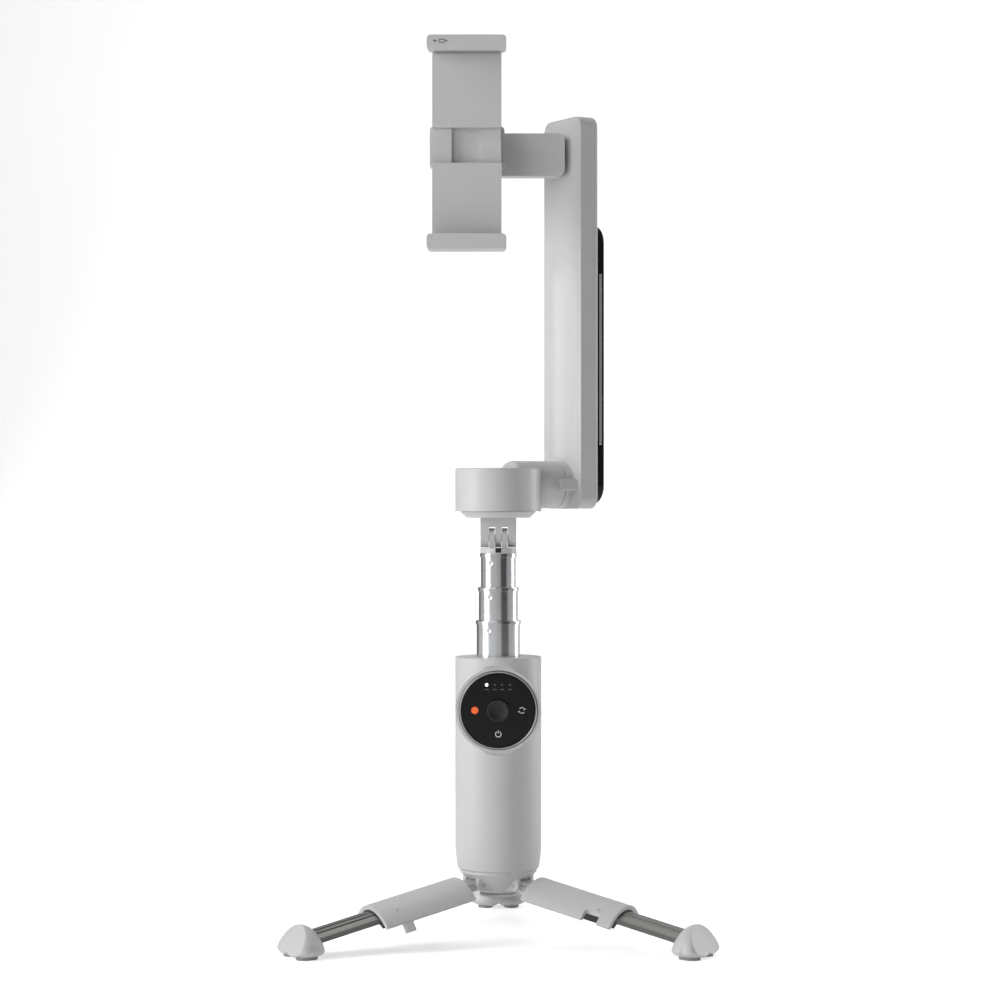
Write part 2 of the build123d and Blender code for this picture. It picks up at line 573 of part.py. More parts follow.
sector_y = -(LEG_R - 5.0)            # the handle's axis, seen from a folded leg
hook_angle = LEG_HALF_ANGLE + 16
for leg_number, leg_azimuth in enumerate(LEG_AZIMUTHS, start=1):
    with BuildPart() as leg_shell:
        with BuildSketch(leg_section(leg_azimuth, LEG_START)):
            add(sector(LEG_R, LEG_WALL, LEG_HALF_ANGLE, sector_y))
        extrude(amount=LEG_END - LEG_START)
        with BuildSketch(hinge_section(leg_azimuth, LEG_LUG_W / 2)):
            Circle(LEG_LUG_R)
        extrude(amount=LEG_LUG_W)
        with BuildSketch(leg_section(leg_azimuth, 0)):
            with Locations((0, -0.1)):
                Rectangle(LEG_LUG_W, 2 * LEG_LUG_R - 0.6)
        extrude(amount=LEG_START + 3)
        with BuildSketch(leg_section(leg_azimuth, LEG_START - 0.5)):
            with Locations((0, 1.6)):
                Rectangle(LEG_LUG_W, 3.6)
        extrude(amount=3.5)
        with BuildSketch(hinge_section(leg_azimuth, LEG_LUG_W)):
            Circle(LEG_PIN_R + PIN_GAP)
        extrude(amount=2 * LEG_LUG_W, mode=Mode.SUBTRACT)
        with BuildSketch(leg_section(leg_azimuth, 38.0)):
            with BuildLine():
                CenterArc((0, sector_y), LEG_R - 0.2, 90 - hook_angle, 18)
                CenterArc((0, sector_y), LEG_R - LEG_WALL, 90 - hook_angle, 18)
                for edge_angle in (90 - hook_angle, 90 - hook_angle + 18):
                    edge_c, edge_s = cos(radians(edge_angle)), sin(radians(edge_angle))
                    Line(((LEG_R - 0.2) * edge_c, sector_y + (LEG_R - 0.2) * edge_s),
                         ((LEG_R - LEG_WALL) * edge_c, sector_y + (LEG_R - LEG_WALL) * edge_s))
            make_face()
        extrude(amount=4.5)
        with BuildSketch(leg_section(leg_azimuth, 36.8)):
            with Locations((-LEG_R, sector_y + 2)):
                Rectangle(2 * (LEG_R - 9.6), 20)
        extrude(amount=7, mode=Mode.SUBTRACT)
    keep(leg_shell, f"leg_shell_{leg_number}")

    guide_r = LEG_R - LEG_WALL
    rail_slot_angle = RAIL_HALF_ANGLE + degrees(RUN_GAP / RAIL_R)
    with BuildPart() as leg_guide:
        with BuildSketch(leg_section(leg_azimuth, LEG_START + 4)):
            add(sector(guide_r, GUIDE_RAIL_DEPTH, GUIDE_RAIL_HALF_ANGLE, sector_y))
            add(sector(guide_r + 1, 1 + guide_r - RAIL_R + RAIL_T + RUN_GAP, rail_slot_angle, sector_y),
                mode=Mode.SUBTRACT)
        extrude(amount=LEG_END - LEG_START - 5.5)
    keep(leg_guide, f"leg_guide_{leg_number}")

    rail_end = (FOOT_REACH - LEG_HINGE_R) / slope_c + 1.5
    with BuildPart() as leg_rail:
        with BuildSketch(leg_section(leg_azimuth, RAIL_START)):
            add(sector(RAIL_R, RAIL_T, RAIL_HALF_ANGLE, sector_y))
            for rib_angle in (-20, -7, 7, 20):
                rib_c, rib_s = cos(radians(90 + rib_angle)), sin(radians(90 + rib_angle))
                with Locations((RAIL_R * rib_c, sector_y + RAIL_R * rib_s)):
                    Circle(0.45, mode=Mode.SUBTRACT)
        extrude(amount=rail_end - RAIL_START)
    keep(leg_rail, f"leg_rail_{leg_number}")

    foot_centre = outward(leg_azimuth) * FOOT_REACH
    foot_back = Plane(origin=foot_centre - outward(leg_azimuth) * FOOT_LENGTH, x_dir=across(leg_azimuth),
                      z_dir=outward(leg_azimuth))
    foot_plan = Plane(origin=foot_centre, x_dir=outward(leg_azimuth), z_dir=(0, 0, 1))
    half_w = FOOT_WIDTH / 2
    with BuildPart() as foot:
        with BuildSketch(foot_back):
            with BuildLine():
                Spline((-half_w, 3.4), (-half_w * 0.66, 9.6), (0, FOOT_H), (half_w * 0.66, 9.6),
                       (half_w, 3.4), tangents=((0.1, 1), (0.1, -1)))
                Polyline((half_w, 3.4), (half_w * 0.8, FOOT_PAD_T), (2.6, FOOT_PAD_T), (0, 2.4),
                         (-2.6, FOOT_PAD_T), (-half_w * 0.8, FOOT_PAD_T), (-half_w, 3.4))
            make_face()
        extrude(amount=2 * FOOT_LENGTH)
        with BuildSketch(foot_plan):
            Ellipse(FOOT_LENGTH / 2, half_w)
        extrude(amount=FOOT_H, mode=Mode.INTERSECT)
        add(leg_rail.part, mode=Mode.SUBTRACT)
    keep(foot, f"foot_{leg_number}")

    with BuildPart() as foot_pad:
        with BuildSketch(foot_plan):
            with Locations((0, half_w * 0.48), (0, -half_w * 0.48)):
                Ellipse(4.6, 3.3)
        extrude(amount=FOOT_PAD_T)
    keep(foot_pad, f"foot_pad_{leg_number}")

# =============================== pan motor ===============================
with BuildPart() as pan_base:
    with BuildSketch(Plane.XZ):
        Polygon((0, PAN_Z0), (PAN_FOOT_R, PAN_Z0), (PAN_BASE_R, PAN_Z1 - RUN_GAP),
                (PAN_R - PAN_WALL - 0.5, PAN_Z1 - RUN_GAP), (PAN_R - PAN_WALL - 0.5, PAN_Z1 + 1.4),
                (5, PAN_Z1 + 1.4), (5, PAN_Z1 + 3), (0, PAN_Z1 + 3), align=None)
    revolve(axis=Axis.Z)
    with BuildSketch(Plane.XY.offset(PAN_Z1)):
        Circle(PAN_SHAFT_R + PIN_GAP)
    extrude(amount=6, mode=Mode.SUBTRACT)
keep(pan_base, "pan_base")

with BuildPart() as pan_stator:
    with BuildSketch(Plane.XY.offset(PAN_Z1 + 3)):
        Circle(10.5)
        Circle(PAN_SHAFT_R + PIN_GAP, mode=Mode.SUBTRACT)
        with PolarLocations(8.4, 12):
            Rectangle(5, 1.2, mode=Mode.SUBTRACT)
    extrude(amount=8)
keep(pan_stator, "pan_stator")

arm_along = Vector(cos(radians(ARM_YAW)), sin(radians(ARM_YAW)), 0)
arm_back = Vector(-sin(radians(ARM_YAW)), cos(radians(ARM_YAW)), 0)
fold_plane = Plane(origin=(0, 0, FOLD_Z), x_dir=arm_back, z_dir=arm_along)
pan_inner_r = PAN_R - PAN_WALL

with BuildPart() as pan_housing:
    with BuildSketch(fold_plane.offset(BARREL_U0)):
        Circle(BARREL_R)
    extrude(amount=SEAM_U - BARREL_U0)
    fillet(pan_housing.edges().sort_by(lambda edge: edge.center().dot(arm_along))[0], 3)
    with BuildSketch(Plane.XY.offset(PAN_Z1)):
        Circle(PAN_R)
    extrude(amount=PAN_Z2 - PAN_Z1)
    with BuildSketch(Plane.XY.offset(PAN_Z1)):
        Circle(pan_inner_r)
    extrude(amount=PAN_Z2 - PAN_Z1 - PAN_WALL, mode=Mode.SUBTRACT)
    with BuildSketch(fold_plane.offset(SEAM_U)):
        Circle(FOLD_PIN_R + PIN_GAP)
    extrude(amount=-7.2, mode=Mode.SUBTRACT)
    rim = pan_housing.edges().filter_by(GeomType.CIRCLE).filter_by(
        lambda edge: abs(edge.radius - PAN_R) < 0.01 and edge.center().Z > PAN_Z2 - 0.1)
    fillet(rim, 0.8)
keep(pan_housing, "pan_housing")

with BuildPart() as pan_rotor:
    with BuildSketch(Plane.XY.offset(PAN_Z1 + 3)):
        Circle(pan_inner_r)
        Circle(pan_inner_r - 4, mode=Mode.SUBTRACT)
    extrude(amount=10)
keep(pan_rotor, "pan_rotor")

with BuildPart() as pan_shaft:
    with BuildSketch(Plane.XY.offset(PAN_Z1 + 0.4)):
        Circle(PAN_SHAFT_R)
    extrude(amount=PAN_Z2 - PAN_WALL - PAN_Z1 - 0.4)
keep(pan_shaft, "pan_shaft")

# =============================== arm ===============================
arm_mid_z = (ARM_Z0 + ARM_Z1) / 2 - FOLD_Z
arm_u1 = ARM_U0 + ARM_T
head_plane = Plane(origin=(HEAD_X, 0, HEAD_Z), x_dir=(1, 0, 0), z_dir=(0, -1, 0))

with BuildPart() as fold_pin:
    with BuildSketch(fold_plane.offset(SEAM_U - 7)):
        Circle(FOLD_PIN_R)
    extrude(amount=ARM_U0 + 4 - SEAM_U + 7)
keep(fold_pin, "fold_pin")

with BuildPart() as arm_frame:
    with BuildSketch(fold_plane.offset(ARM_U0)):
        with Locations((0, arm_mid_z)):
            RectangleRounded(ARM_W, ARM_Z1 - ARM_Z0, 5)
    extrude(amount=ARM_T)
    outer_edges = arm_frame.faces().sort_by(lambda face: face.center().dot(arm_along))[-1].edges()
    fillet(outer_edges, 1.2)
    with BuildSketch(fold_plane.offset(SEAM_U + RUN_GAP)):
        Circle(BARREL_R)
    extrude(amount=ARM_U0 - SEAM_U - RUN_GAP)
    groove_z0 = BARREL_R + 1.5
    groove_round = GROOVE_W / 2
    groove_axis_u = ARM_U0 - sqrt(GROOVE_R ** 2 - groove_round ** 2)
    with BuildSketch(Plane.XY.offset(FOLD_Z + groove_z0)):
        with Locations(arm_along * groove_axis_u):
            Circle(GROOVE_R)
    extrude(amount=GROOVE_Z1 - FOLD_Z - groove_z0 - groove_round, mode=Mode.SUBTRACT)
    with Locations(arm_along * groove_axis_u + Vector(0, 0, GROOVE_Z1 - groove_round)):
        Sphere(GROOVE_R, mode=Mode.SUBTRACT)
    with BuildSketch(Plane.XZ.offset(-ROLL_Y[0] - 3.5)):
        with Locations((HEAD_X / 2 + 14, HEAD_Z)):
            RectangleRounded(abs(HEAD_X) + 28, 18, 3)
    extrude(amount=-9)
    with BuildSketch(head_plane.offset(-ROLL_Y[1] - 1)):
        Circle(ROLL_R)
    extrude(amount=ROLL_Y[1], mode=Mode.SUBTRACT)
    with BuildSketch(fold_plane.offset(arm_u1 + 3)):
        with Locations((0, arm_mid_z)):
            Rectangle(ARM_W + 10, ARM_Z1 - ARM_Z0 + 10)
    extrude(amount=-3, mode=Mode.SUBTRACT)
    with BuildSketch(fold_plane.offset(SEAM_U)):
        Circle(FOLD_PIN_R)
    extrude(amount=ARM_U0 + 4 - SEAM_U, mode=Mode.SUBTRACT)
keep(arm_frame, "arm_frame")

cover_mid_z = (ARM_Z0 + 2 + COVER_Z1) / 2 - FOLD_Z
trim_mid_z = (TRIM_Z[0] + TRIM_Z[1]) / 2 - FOLD_Z
with BuildPart() as arm_trim:
    with BuildSketch(fold_plane.offset(arm_u1 + 1.4)):
        with Locations((-COVER_W / 2 + 0.3, trim_mid_z)):
            RectangleRounded(1.2, TRIM_Z[1] - TRIM_Z[0], 0.3)
    extrude(amount=1.2)
keep(arm_trim, "arm_trim")

with BuildPart() as arm_cover:
    with BuildSketch(fold_plane.offset(arm_u1)):
        with Locations((0, cover_mid_z)):
            RectangleRounded(COVER_W, COVER_Z1 - ARM_Z0 - 2, 8)
    extrude(amount=COVER_T)
    cover_edges = arm_cover.faces().sort_by(lambda face: face.center().dot(arm_along))[-1].edges()
    fillet(cover_edges, 1.2)
    add(arm_trim.part, mode=Mode.SUBTRACT)
keep(arm_cover, "arm_cover")

with BuildPart() as latch_tab:
    with BuildSketch(fold_plane.offset(SEAM_U - 3.5)):
        with Locations((-BARREL_R - RUN_GAP - 1.2, 0)):
            RectangleRounded(2.4, 5, 1)
    extrude(amount=ARM_U0 - SEAM_U + 3.5)
keep(latch_tab, "latch_tab")

# =============================== roll motor ===============================
with BuildPart() as roll_housing:
    with BuildSketch(head_plane.offset(-ROLL_Y[1])):
        Circle(ROLL_R)
    extrude(amount=ROLL_Y[1] - ROLL_Y[0])
    fillet(roll_housing.faces().sort_by(Axis.Y)[-1].edges(), 1.0)
    with BuildSketch(head_plane.offset(-ROLL_Y[0])):
        Circle(ROLL_R - ROLL_WALL)
    extrude(amount=-(ROLL_Y[1] - ROLL_Y[0] - ROLL_WALL), mode=Mode.SUBTRACT)
keep(roll_housing, "roll_housing")

with BuildPart() as roll_stator:
    with BuildSketch(head_plane.offset(-ROLL_Y[1] + ROLL_WALL)):
        Circle(6)
    extrude(amount=2)
    with BuildSketch(head_plane.offset(-ROLL_Y[1] + ROLL_WALL + 2)):
        Circle(9)
        with PolarLocations(7.4, 9):
            Rectangle(4, 1.2, mode=Mode.SUBTRACT)
    extrude(amount=7)
    with BuildSketch(head_plane.offset(-ROLL_Y[1])):
        Circle(ROLL_SHAFT_R + PIN_GAP)
    extrude(amount=ROLL_Y[1], mode=Mode.SUBTRACT)
keep(roll_stator, "roll_stator")

rotor_y = ROLL_Y[0] - RUN_GAP
with BuildPart() as roll_rotor:
    with BuildSketch(head_plane.offset(-rotor_y)):
        Circle(ROLL_R - 0.3)
    extrude(amount=2.3)
    with BuildSketch(head_plane.offset(-rotor_y)):
        Circle(ROLL_R - ROLL_WALL - 0.5)
        Circle(ROLL_R - ROLL_WALL - 2.9, mode=Mode.SUBTRACT)
        Circle(ROLL_SHAFT_R)
    extrude(amount=-9)
keep(roll_rotor, "roll_rotor")

# =============================== tilt motor and clamp ===============================
tilt_plane = Plane(origin=(HEAD_X, TILT_Y, HEAD_Z), x_dir=(0, 1, 0), z_dir=(1, 0, 0))
rotor_front = rotor_y - 2.3
cheek_x = TILT_L / 2 + RUN_GAP
cradle_back = TILT_Y - TILT_R - 0.4
cradle_front = cradle_back - CRADLE_T
magnet_front = cradle_front - MAGNET_T
clamp_front = magnet_front - CLAMP_T
leaf_back = clamp_front - RUN_GAP
leaf_front = leaf_back - JAW_LEAF_T

with BuildPart() as tilt_motor:
    with BuildSketch(tilt_plane.offset(-TILT_L / 2)):
        Circle(TILT_R)
    extrude(amount=TILT_L)
    chamfer(tilt_motor.edges(), 0.5)
    with BuildSketch(head_plane.offset(-rotor_front)):
        RectangleRounded(16, 9, 1)
    extrude(amount=rotor_front - TILT_Y - 2)
    with BuildSketch(tilt_plane.offset(-TILT_L / 2)):
        Circle(TILT_SHAFT_R + PIN_GAP)
    extrude(amount=TILT_L, mode=Mode.SUBTRACT)
keep(tilt_motor, "tilt_motor")

with BuildPart() as tilt_shaft:
    with BuildSketch(tilt_plane.offset(-cheek_x - CHEEK_T)):
        Circle(TILT_SHAFT_R)
    extrude(amount=2 * (cheek_x + CHEEK_T))
keep(tilt_shaft, "tilt_shaft")

with BuildPart() as tilt_cradle:
    with BuildSketch(head_plane.offset(-cradle_back)):
        RectangleRounded(2 * (cheek_x + CHEEK_T), 18, 2)
    extrude(amount=CRADLE_T)
    for cheek_start in (-cheek_x - CHEEK_T, cheek_x):
        with BuildSketch(tilt_plane.offset(cheek_start)):
            Circle(6)
            with Locations(((cradle_back - TILT_Y) / 2, 0)):
                Rectangle(TILT_Y - cradle_back, 12)
            Circle(TILT_SHAFT_R, mode=Mode.SUBTRACT)
        extrude(amount=CHEEK_T)
keep(tilt_cradle, "tilt_cradle")

with BuildPart() as cradle_screws:
    with BuildSketch(head_plane.offset(-cradle_back)):
        with GridLocations(22, 14.8, 2, 2):
            Circle(1.2)
    extrude(amount=-1.0)
keep(cradle_screws, "cradle_screws")

with BuildPart() as clamp_magnet:
    with BuildSketch(head_plane.offset(-cradle_front)):
        Circle(MAGNET_R)
    extrude(amount=MAGNET_T)
keep(clamp_magnet, "clamp_magnet")

with BuildPart() as clamp_body:
    with BuildSketch(head_plane.offset(-magnet_front)):
        RectangleRounded(CLAMP_W, CLAMP_H, 8)
    extrude(amount=CLAMP_T)
    with BuildSketch(head_plane.offset(-clamp_front)):
        Rectangle(JAW_RIB_W + 2 * RUN_GAP, CLAMP_H + 2)
    extrude(amount=-JAW_RIB_T, mode=Mode.SUBTRACT)
keep(clamp_body, "clamp_body")

shelf_z = JAW_GAP / 2
for jaw_name, up in (("upper", 1), ("lower", -1)):
    with BuildPart() as clamp_jaw:
        with BuildSketch(head_plane.offset(-leaf_back)):
            with Locations((0, up * (shelf_z - JAW_LEAF_H / 2 + 2))):
                Rectangle(JAW_W - 4, JAW_LEAF_H + 4)
        extrude(amount=JAW_LEAF_T)
        with BuildSketch(head_plane.offset(-leaf_back)):
            with Locations((0, up * (shelf_z - JAW_LEAF_H / 2))):
                Rectangle(JAW_RIB_W, JAW_LEAF_H)
        extrude(amount=-JAW_RIB_T)
        with BuildSketch(head_plane.offset(-leaf_back)):
            with Locations((0, up * (shelf_z + JAW_T / 2))):
                RectangleRounded(JAW_W, JAW_T, 1.6)
        extrude(amount=JAW_SHELF)
        with BuildSketch(head_plane.offset(-leaf_back + JAW_SHELF)):
            with Locations((0, up * (shelf_z + (JAW_T - JAW_LIP_H + 1.6) / 2))):
                RectangleRounded(JAW_W, JAW_T + JAW_LIP_H - 1.6, 1.6)
        extrude(amount=JAW_LIP_T)
        with BuildSketch(head_plane.offset(-leaf_front - 0.6)):
            with Locations((0, up * shelf_z)):
                Rectangle(JAW_W - 6, 2 * 0.6)
        extrude(amount=JAW_SHELF - JAW_LEAF_T, mode=Mode.SUBTRACT)
    keep(clamp_jaw, f"clamp_jaw_{jaw_name}")

    with BuildPart() as jaw_pad:
        with BuildSketch(head_plane.offset(-leaf_front + 0.1)):
            with Locations((0, up * (shelf_z + 0.6 - JAW_PAD_T / 2))):
                Rectangle(JAW_W - 6, JAW_PAD_T)
        extrude(amount=JAW_SHELF - JAW_LEAF_T - 0.8)
    keep(jaw_pad, f"jaw_pad_{jaw_name}")
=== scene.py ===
"""Looks of the folding phone stabilizer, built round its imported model. Metres, +Z up, -Y is the front."""
import json
from math import atan2, cos, pi, radians, sin

import bpy
from mathutils import Matrix, Vector


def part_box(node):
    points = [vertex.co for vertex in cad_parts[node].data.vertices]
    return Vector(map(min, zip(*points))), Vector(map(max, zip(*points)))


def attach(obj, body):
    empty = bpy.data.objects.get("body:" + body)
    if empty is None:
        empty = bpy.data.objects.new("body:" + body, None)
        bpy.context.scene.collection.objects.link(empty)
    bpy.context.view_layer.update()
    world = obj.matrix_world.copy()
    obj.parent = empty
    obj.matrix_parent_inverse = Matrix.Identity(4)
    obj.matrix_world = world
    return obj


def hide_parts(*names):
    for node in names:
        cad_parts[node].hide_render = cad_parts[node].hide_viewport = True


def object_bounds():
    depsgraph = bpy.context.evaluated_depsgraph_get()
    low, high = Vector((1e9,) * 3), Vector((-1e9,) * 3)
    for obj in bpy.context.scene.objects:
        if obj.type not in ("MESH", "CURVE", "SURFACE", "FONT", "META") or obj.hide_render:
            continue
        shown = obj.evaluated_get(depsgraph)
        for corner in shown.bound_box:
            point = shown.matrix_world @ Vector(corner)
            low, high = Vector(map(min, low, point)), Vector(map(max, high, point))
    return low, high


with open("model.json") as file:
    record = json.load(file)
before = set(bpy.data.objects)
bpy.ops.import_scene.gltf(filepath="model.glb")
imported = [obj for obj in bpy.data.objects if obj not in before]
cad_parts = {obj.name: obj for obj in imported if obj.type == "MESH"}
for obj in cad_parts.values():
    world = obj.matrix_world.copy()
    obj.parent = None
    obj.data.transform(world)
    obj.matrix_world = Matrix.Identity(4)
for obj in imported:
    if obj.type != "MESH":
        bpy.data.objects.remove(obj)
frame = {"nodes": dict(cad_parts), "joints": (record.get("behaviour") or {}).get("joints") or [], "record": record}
cad_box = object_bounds()
MM = 0.001
joint_of = {joint["name"]: joint for joint in frame["joints"]}
bodies = frame["record"]["behaviour"]["bodies"]
body_of_node = {node: body for body, nodes in bodies.items() for node in nodes}

# ---------------------------------------------------------------- camera
# A long lens at table height, square on to the front, a little above half the object's height.
camera_height = 0.1837
camera_distance = 1.147
bpy.ops.object.select_all(action="DESELECT")
bpy.ops.object.camera_add(location=(0.0007, -camera_distance, camera_height), rotation=(pi / 2, 0, 0))
camera = bpy.context.object
camera.name = "camera"
camera.data.lens = 98.7
camera.data.sensor_width = 36
bpy.context.scene.camera = camera

# ---------------------------------------------------------------- studio
# A pale floor that runs far back and up, a large soft light from the left, a weaker one behind the
# right side, a fill in front and a wide one on top. Two black cards give the shiny tubes dark bands.
sweep_start = 1.1
bpy.ops.mesh.primitive_plane_add(size=1, location=(0, 0, cad_box[0][2]))
floor = bpy.context.object
floor_size = 14
floor.scale = (floor_size, floor_size, 1)
floor.location.y = sweep_start - floor_size / 2
bpy.ops.object.transform_apply(location=True, rotation=True, scale=True)
bpy.ops.object.mode_set(mode="EDIT")
bpy.ops.mesh.select_mode(type="EDGE")
bpy.ops.mesh.select_all(action="DESELECT")
bpy.ops.object.mode_set(mode="OBJECT")
for edge in floor.data.edges:
    ends = [floor.data.vertices[index].co.y for index in edge.vertices]
    edge.select = min(ends) > sweep_start - 0.01
bpy.ops.object.mode_set(mode="EDIT")
sweep_radius = 0.6
wall_height = 5
bpy.ops.mesh.spin(steps=24, angle=-pi / 2, center=(0, sweep_start, cad_box[0][2] + sweep_radius),
                  axis=(1, 0, 0))
bpy.ops.mesh.extrude_region_move(TRANSFORM_OT_translate={"value": (0, 0, wall_height)})
bpy.ops.object.mode_set(mode="OBJECT")
bpy.ops.object.shade_smooth()
floor.name = "studio_floor"
floor_finish = bpy.data.materials.new("studio_paper")
floor_finish.use_nodes = True
paper = floor_finish.node_tree.nodes["Principled BSDF"]
paper.inputs["Base Color"].default_value = (0.9, 0.9, 0.9, 1)
paper.inputs["Roughness"].default_value = 1.0
paper.inputs["Specular IOR Level"].default_value = 0.0
paper.inputs["Emission Color"].default_value = (1, 1, 1, 1)
paper_nodes, paper_links = floor_finish.node_tree.nodes, floor_finish.node_tree.links
looked_at = paper_nodes.new("ShaderNodeLightPath")
paper_glow = paper_nodes.new("ShaderNodeMapRange")
paper_glow.inputs["To Min"].default_value = 0.12
paper_glow.inputs["To Max"].default_value = 0.55
paper_links.new(looked_at.outputs["Is Camera Ray"], paper_glow.inputs["Value"])
paper_links.new(paper_glow.outputs["Result"], paper.inputs["Emission Strength"])
floor.data.materials.append(floor_finish)


def soft_light(name, place, aim, width, height, power):
    """A rectangular softbox that faces a point."""
    bpy.ops.object.light_add(type="AREA", location=place)
    lamp = bpy.context.object
    lamp.name = name
    lamp.data.shape = "RECTANGLE"
    lamp.data.size = width
    lamp.data.size_y = height
    lamp.data.energy = power
    lamp.rotation_euler = (Vector(aim) - Vector(place)).to_track_quat("-Z", "Y").to_euler()


def black_card(name, place, aim, width, height):
    """A black flag that darkens one side of the shiny parts. It stays out of the picture itself."""
    bpy.ops.mesh.primitive_plane_add(size=1, location=place)
    card = bpy.context.object
    card.name = name
    card.scale = (width, height, 1)
    card.rotation_euler = (Vector(aim) - Vector(place)).to_track_quat("-Z", "Y").to_euler()
    card.data.materials.append(card_finish)
    card.visible_camera = False


middle = (0, 0, 0.19)
card_aim = (0, 0, 0.25)
soft_light("key_softbox", (-1.25, -0.45, 0.5), middle, 0.55, 1.5, 15)
soft_light("side_softbox", (1.15, 0.5, 0.4), middle, 0.3, 1.2, 7)
soft_light("front_fill", (-0.9, -1.8, 0.8), middle, 0.9, 0.9, 5.0)
soft_light("top_softbox", (-0.2, 0.3, 1.5), middle, 1.2, 1.2, 5)
card_finish = bpy.data.materials.new("card_velvet")
card_finish.use_nodes = True
velvet = card_finish.node_tree.nodes["Principled BSDF"]
velvet.inputs["Base Color"].default_value = (0.01, 0.01, 0.01, 1)
velvet.inputs["Roughness"].default_value = 1.0
velvet.inputs["Specular IOR Level"].default_value = 0.0
black_card("right_card", (0.75, -1.0, 0.45), card_aim, 0.95, 1.6)
black_card("left_card", (-0.8, 0.95, 0.45), card_aim, 0.5, 1.6)
world = bpy.data.worlds.new("pale_room")
bpy.context.scene.world = world
world.use_nodes = True
room_nodes, room_links = world.node_tree.nodes, world.node_tree.links
room = room_nodes["Background"]
room.inputs["Color"].default_value = (1, 1, 1, 1)
room.inputs["Strength"].default_value = 0.22
backdrop = room_nodes.new("ShaderNodeBackground")
backdrop.inputs["Color"].default_value = (1, 1, 1, 1)
backdrop.inputs["Strength"].default_value = 1.0
seen = room_nodes.new("ShaderNodeLightPath")
either = room_nodes.new("ShaderNodeMixShader")
room_links.new(seen.outputs["Is Camera Ray"], either.inputs["Fac"])
room_links.new(room.outputs["Background"], either.inputs[1])
room_links.new(backdrop.outputs["Background"], either.inputs[2])
room_links.new(either.outputs["Shader"], room_nodes["World Output"].inputs["Surface"])
bpy.context.scene.view_settings.view_transform = "Standard"

# ---------------------------------------------------------------- moulded casing plastic
# Pale neutral grey ABS with a very fine spark-eroded texture, injection moulded. Every casing, leg
# shell and jaw is made of it.


def surface(name, colour, roughness, metallic=0.0):
    """A new material, its node tree and its shader."""
    material = bpy.data.materials.new(name)
    material.use_nodes = True
    shader = material.node_tree.nodes["Principled BSDF"]
    shader.inputs["Base Color"].default_value = (*colour, 1)
    shader.inputs["Roughness"].default_value = roughness
    shader.inputs["Metallic"].default_value = metallic
    return material, material.node_tree, shader


def grain(tree, shader, colour, spread, rough, rough_spread, scale, depth, stretch=(1, 1, 1)):
    """Fine grain on object coordinates: it varies the colour and roughness and raises the surface."""
    nodes, links = tree.nodes, tree.links
    place = nodes.new("ShaderNodeTexCoord")
    turn = nodes.new("ShaderNodeMapping")
    turn.inputs["Scale"].default_value = stretch
    fine = nodes.new("ShaderNodeTexNoise")
    fine.inputs["Scale"].default_value = scale
    fine.inputs["Detail"].default_value = 4
    broad = nodes.new("ShaderNodeTexNoise")
    broad.inputs["Scale"].default_value = 38
    broad.inputs["Detail"].default_value = 3
    tint = nodes.new("ShaderNodeMix")
    tint.data_type = "RGBA"
    tint.inputs[6].default_value = (*[c * (1 - spread) for c in colour], 1)
    tint.inputs[7].default_value = (*[min(1, c * (1 + spread)) for c in colour], 1)
    polish = nodes.new("ShaderNodeMapRange")
    polish.inputs["To Min"].default_value = rough - rough_spread
    polish.inputs["To Max"].default_value = rough + rough_spread
    bump = nodes.new("ShaderNodeBump")
    bump.inputs["Strength"].default_value = 0.35
    bump.inputs["Distance"].default_value = depth
    links.new(place.outputs["Object"], turn.inputs["Vector"])
    links.new(turn.outputs["Vector"], fine.inputs["Vector"])
    links.new(place.outputs["Object"], broad.inputs["Vector"])
    links.new(broad.outputs["Fac"], tint.inputs["Factor"])
    links.new(tint.outputs[2], shader.inputs["Base Color"])
    links.new(fine.outputs["Fac"], polish.inputs["Value"])
    links.new(polish.outputs["Result"], shader.inputs["Roughness"])
    links.new(fine.outputs["Fac"], bump.inputs["Height"])
    links.new(bump.outputs["Normal"], shader.inputs["Normal"])


def grained(name, colour, rough, metallic=0.0, spread=0.02, scale=2600, depth=0.00003, stretch=(1, 1, 1)):
    """A material with fine grain."""
    material, tree, shader = surface(name, colour, rough, metallic)
    grain(tree, shader, colour, spread, rough, rough * 0.18, scale, depth, stretch)
    return material


def shader_of(material):
    """The Principled shader of a material."""
    return material.node_tree.nodes["Principled BSDF"]


casing_plastic = grained("casing_plastic", (0.6, 0.6, 0.6), 0.42)
casing_shader = shader_of(casing_plastic)
casing_shader.inputs["Coat Weight"].default_value = 0.08
casing_shader.inputs["Coat Roughness"].default_value = 0.3


def only(*pieces):
    """Select nothing but these pieces."""
    bpy.ops.object.select_all(action="DESELECT")
    for piece in pieces:
        piece.hide_set(False)
        piece.select_set(True)
    bpy.context.view_layer.objects.active = pieces[-1]


def apply_all(piece):
    """Apply every modifier on a piece, in order."""
    only(piece)
    for modifier in list(piece.modifiers):
        bpy.ops.object.modifier_apply(modifier=modifier.name)


def settle(piece, name, material, body):
    """Name a finished piece, put its place in its mesh, give it its finish and let it ride."""
    only(piece)
    bpy.ops.object.transform_apply(location=True, rotation=True, scale=True)
    piece.name = name
    piece.data.name = name
    piece.data.materials.clear()
    piece.data.materials.append(material)
    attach(piece, body)
    return piece


